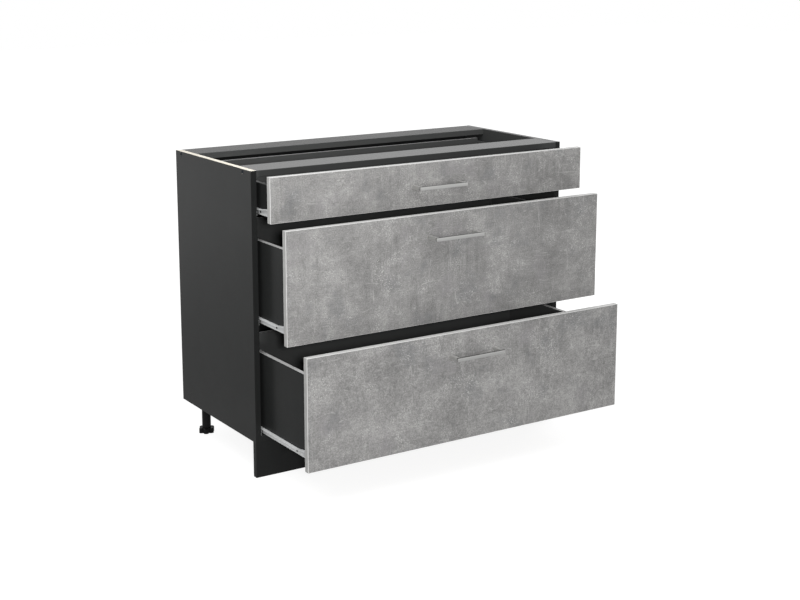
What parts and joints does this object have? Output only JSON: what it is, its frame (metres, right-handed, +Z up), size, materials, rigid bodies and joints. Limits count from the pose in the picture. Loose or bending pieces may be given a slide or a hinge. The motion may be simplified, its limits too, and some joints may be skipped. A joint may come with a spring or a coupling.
{
  "type": "kitchen base cabinet",
  "caption": "Wide kitchen base cabinet with an open top, a plinth and drawers on roller runners, in dark board with concrete-look fronts and bar handles.",
  "frame": {"origin": "on the floor, in the middle of the plinth's and the carcass's front plane", "axes": "+Z up, +Y towards the wall, +X to the right as seen from the front"},
  "size_m": [1, 0.7615, 0.816],
  "materials": {
    "anthracite_board": "matt anthracite melamine on chipboard",
    "concrete_front": "concrete-look decor with pale edging",
    "thin_board": "dark hardboard",
    "beech": "plain beech",
    "brushed_bar": "brushed",
    "runner_steel": "light grey coated sheet steel",
    "plated_steel": "zinc plated",
    "black_screw": "black phosphated",
    "nylon": "black nylon",
    "black_plastic": "moulded, fine grain",
    "cap_plastic": "matt"
  },
  "bodies": {
    "carcass": {"side_panel_left": "anthracite_board", "side_panel_right": "anthracite_board", "bottom_panel": "anthracite_board", "front_top_rail": "anthracite_board", "rear_top_rail": "anthracite_board", "back_panel": "thin_board", "back_panel_pins": "plated_steel", "plinth_panel": "anthracite_board", "plinth_clips": "black_plastic", "leg_sockets": "black_plastic", "leg_tubes": "black_plastic", "rail_screws": "plated_steel", "screw_caps": "cap_plastic", "wood_dowels": "beech", "bottom_cam_fittings": "plated_steel", "cabinet_runner_screws": "plated_steel", "cabinet_runners_top": "runner_steel", "cabinet_runners_middle": "runner_steel", "cabinet_runners_bottom": "runner_steel"},
    "top_drawer": {"drawer_front_top": "concrete_front", "handle_top": "brushed_bar", "handle_screws_top": "plated_steel", "drawer_side_left_top": "anthracite_board", "drawer_side_right_top": "anthracite_board", "drawer_back_top": "anthracite_board", "drawer_bottom_top": "thin_board", "drawer_runners_top": "runner_steel", "drawer_screws_top": "black_screw", "front_cam_fittings_top": "plated_steel"},
    "front_rollers_top": {"front_rollers_top": "nylon"},
    "rear_rollers_top": {"rear_rollers_top": "nylon"},
    "middle_drawer": {"drawer_front_middle": "concrete_front", "handle_middle": "brushed_bar", "handle_screws_middle": "plated_steel", "drawer_side_left_middle": "anthracite_board", "drawer_side_right_middle": "anthracite_board", "drawer_back_middle": "anthracite_board", "drawer_bottom_middle": "thin_board", "drawer_runners_middle": "runner_steel", "drawer_screws_middle": "black_screw", "front_cam_fittings_middle": "plated_steel"},
    "front_rollers_middle": {"front_rollers_middle": "nylon"},
    "rear_rollers_middle": {"rear_rollers_middle": "nylon"},
    "bottom_drawer": {"drawer_front_bottom": "concrete_front", "handle_bottom": "brushed_bar", "handle_screws_bottom": "plated_steel", "drawer_side_left_bottom": "anthracite_board", "drawer_side_right_bottom": "anthracite_board", "drawer_back_bottom": "anthracite_board", "drawer_bottom_bottom": "thin_board", "drawer_runners_bottom": "runner_steel", "drawer_screws_bottom": "black_screw", "front_cam_fittings_bottom": "plated_steel"},
    "front_rollers_bottom": {"front_rollers_bottom": "nylon"},
    "rear_rollers_bottom": {"rear_rollers_bottom": "nylon"},
    "foot_front_left": {"foot_front_left": "black_plastic"},
    "foot_front_right": {"foot_front_right": "black_plastic"},
    "foot_rear_left": {"foot_rear_left": "black_plastic"},
    "foot_rear_right": {"foot_rear_right": "black_plastic"}
  },
  "joints": [
    {"name": "top_drawer_slide", "type": "slide", "parent": "carcass", "child": "top_drawer", "axis": [0, -1, 0], "range_m": [-0.0795, 0.2205]},
    {"name": "front_rollers_top_spin", "type": "hinge", "parent": "carcass", "child": "front_rollers_top", "pos_m": [0, 0.014, 0.7081], "axis": [1, 0, 0], "range_deg": [-3000, 3000]},
    {"name": "rear_rollers_top_spin", "type": "hinge", "parent": "top_drawer", "child": "rear_rollers_top", "pos_m": [0, 0.3105, 0.7072], "axis": [1, 0, 0], "range_deg": [-3000, 3000]},
    {"name": "middle_drawer_slide", "type": "slide", "parent": "carcass", "child": "middle_drawer", "axis": [0, -1, 0], "range_m": [-0.1565, 0.1435]},
    {"name": "front_rollers_middle_spin", "type": "hinge", "parent": "carcass", "child": "front_rollers_middle", "pos_m": [0, 0.014, 0.42035], "axis": [1, 0, 0], "range_deg": [-3000, 3000]},
    {"name": "rear_rollers_middle_spin", "type": "hinge", "parent": "middle_drawer", "child": "rear_rollers_middle", "pos_m": [0, 0.2335, 0.41945], "axis": [1, 0, 0], "range_deg": [-3000, 3000]},
    {"name": "bottom_drawer_slide", "type": "slide", "parent": "carcass", "child": "bottom_drawer", "axis": [0, -1, 0], "range_m": [-0.2545, 0.0455]},
    {"name": "front_rollers_bottom_spin", "type": "hinge", "parent": "carcass", "child": "front_rollers_bottom", "pos_m": [0, 0.014, 0.1221], "axis": [1, 0, 0], "range_deg": [-3000, 3000]},
    {"name": "rear_rollers_bottom_spin", "type": "hinge", "parent": "bottom_drawer", "child": "rear_rollers_bottom", "pos_m": [0, 0.1355, 0.1212], "axis": [1, 0, 0], "range_deg": [-3000, 3000]},
    {"name": "foot_front_left_height", "type": "slide", "parent": "carcass", "child": "foot_front_left", "axis": [0, 0, 1], "range_m": [-0.015, 0.003]},
    {"name": "foot_front_right_height", "type": "slide", "parent": "carcass", "child": "foot_front_right", "axis": [0, 0, 1], "range_m": [-0.015, 0.003]},
    {"name": "foot_rear_left_height", "type": "slide", "parent": "carcass", "child": "foot_rear_left", "axis": [0, 0, 1], "range_m": [-0.015, 0.003]},
    {"name": "foot_rear_right_height", "type": "slide", "parent": "carcass", "child": "foot_rear_right", "axis": [0, 0, 1], "range_m": [-0.015, 0.003]}
  ],
  "couplings": [
    {"joint": "front_rollers_top_spin", "follows": "top_drawer_slide", "rad_per_m": 147.06},
    {"joint": "rear_rollers_top_spin", "follows": "top_drawer_slide", "rad_per_m": 166.67},
    {"joint": "front_rollers_middle_spin", "follows": "middle_drawer_slide", "rad_per_m": 147.06},
    {"joint": "rear_rollers_middle_spin", "follows": "middle_drawer_slide", "rad_per_m": 166.67},
    {"joint": "front_rollers_bottom_spin", "follows": "bottom_drawer_slide", "rad_per_m": 147.06},
    {"joint": "rear_rollers_bottom_spin", "follows": "bottom_drawer_slide", "rad_per_m": 166.67}
  ]
}
